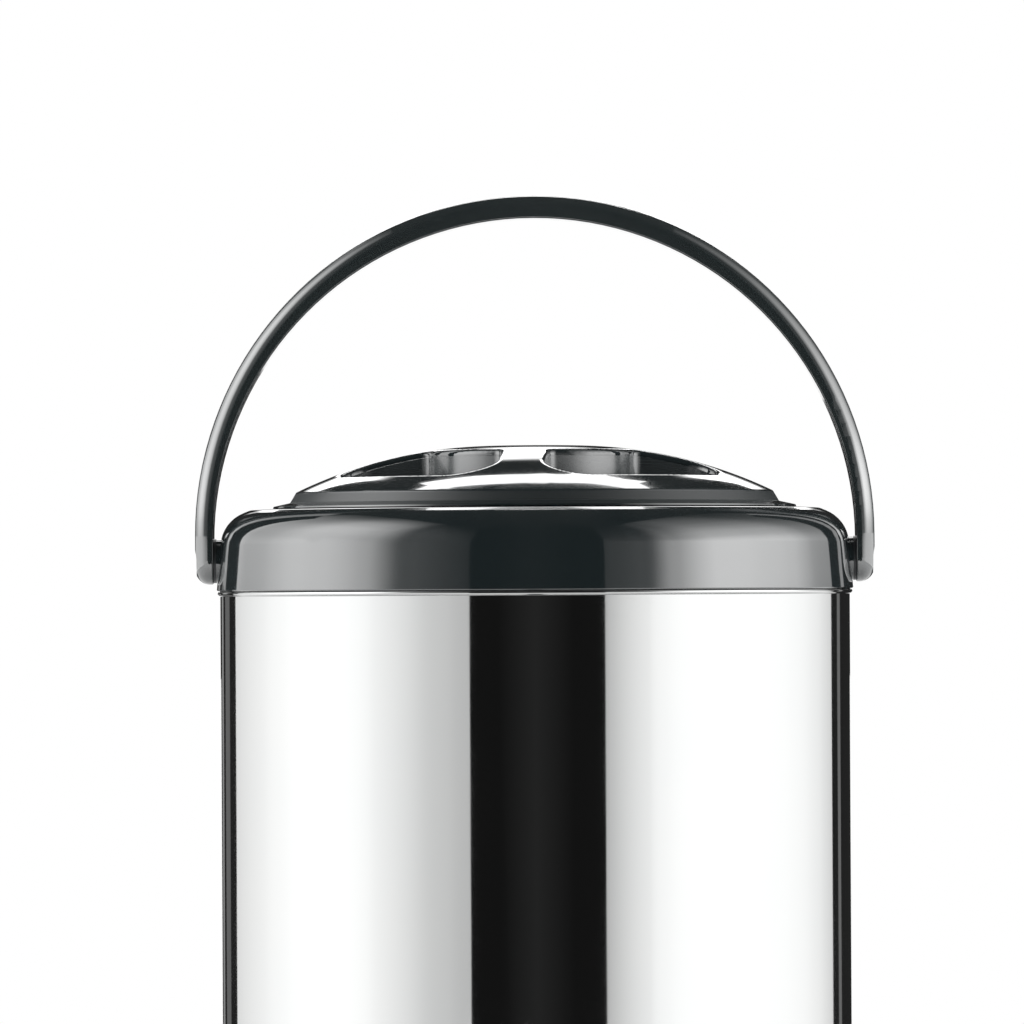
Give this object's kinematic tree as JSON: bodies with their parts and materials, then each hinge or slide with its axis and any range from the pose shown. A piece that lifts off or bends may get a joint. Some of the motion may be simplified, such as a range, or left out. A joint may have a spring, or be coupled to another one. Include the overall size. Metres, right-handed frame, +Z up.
{
  "type": "insulated beverage dispenser",
  "caption": "Insulated drinks barrel: polished steel cylinder between moulded rings, screw lid with finger wells, arched carrying bail and a lever tap at the front.",
  "frame": {"origin": "the barrel's axis in the plane it stands on, the underside of the foot ring", "axes": "+Z up along the barrel's axis; -Y towards the tap, the front; X along the bail's pivots"},
  "size_m": [0.286, 0.387, 0.4812],
  "materials": {
    "polished_steel": "mirror-polished stainless sheet",
    "tank_steel": "satin stainless sheet",
    "fastener_steel": "turned stainless",
    "slate_plastic": "glossy dark slate moulding",
    "tap_plastic": "satin black moulding",
    "lever_plastic": "glossy dark slate moulding",
    "food_plastic": "natural polypropylene, fine satin",
    "silicone": "translucent white silicone",
    "foot_rubber": "matt black rubber",
    "foam": "rigid polyurethane foam, closed cell"
  },
  "bodies": {
    "barrel": {"outer_shell": "polished_steel", "shoulder_ring": "slate_plastic", "inner_liner": "tank_steel", "liner_seal": "silicone", "foam_jacket": "foam", "base_ring": "slate_plastic", "bottom_plate": "tank_steel", "foot_ring": "foot_rubber", "base_screws": "fastener_steel", "pivot_washer_right": "tap_plastic", "pivot_screw_right": "fastener_steel", "pivot_washer_left": "tap_plastic", "pivot_screw_left": "fastener_steel", "tap_body": "tap_plastic", "tap_outer_washer": "silicone", "tap_wall_sleeve": "food_plastic", "tap_inner_washer": "silicone", "tap_nut": "food_plastic", "tap_bonnet": "tap_plastic", "stem_o_ring": "silicone", "lever_pin": "fastener_steel"},
    "bail": {"bail": "slate_plastic"},
    "lid_seal": {"lid_gasket": "silicone"},
    "lid": {"lid_dome": "slate_plastic", "finger_cups": "slate_plastic", "lid_inner": "food_plastic", "lid_foam": "foam"},
    "vent": {"vent_plug": "silicone"},
    "lever": {"tap_lever": "lever_plastic"},
    "valve": {"valve_stem": "fastener_steel", "seat_cup": "silicone", "valve_spring": "fastener_steel"}
  },
  "joints": [
    {"name": "bail_swing", "type": "hinge", "parent": "barrel", "child": "bail", "pos_m": [0, 0, 0.3278], "axis": [1, 0, 0], "range_deg": [-107, 107]},
    {"name": "lid_lift", "type": "slide", "parent": "barrel", "child": "lid_seal", "axis": [0, 0, 1], "range_m": [0, 0.0452]},
    {"name": "lid_turn", "type": "hinge", "parent": "lid_seal", "child": "lid", "pos_m": [0, 0, 0.3497], "axis": [0, 0, 1], "range_deg": [0, 900]},
    {"name": "vent_lift", "type": "slide", "parent": "lid", "child": "vent", "axis": [0, 0, 1], "range_m": [0, 0.006]},
    {"name": "lever_press", "type": "hinge", "parent": "barrel", "child": "lever", "pos_m": [0, -0.1905, 0.108], "axis": [1, 0, 0], "range_deg": [0, 25], "stiffness_Nm_per_rad": 0.6, "springref_deg": -14.32},
    {"name": "stem_lift", "type": "slide", "parent": "barrel", "child": "valve", "axis": [0, 0, 1], "range_m": [0, 0.0045], "deforming": ["valve_spring"]}
  ],
  "couplings": [
    {"joint": "lid_lift", "follows": "lid_turn", "m_per_rad": 0.0028648},
    {"joint": "stem_lift", "follows": "lever_press", "m_per_rad": 0.01}
  ]
}
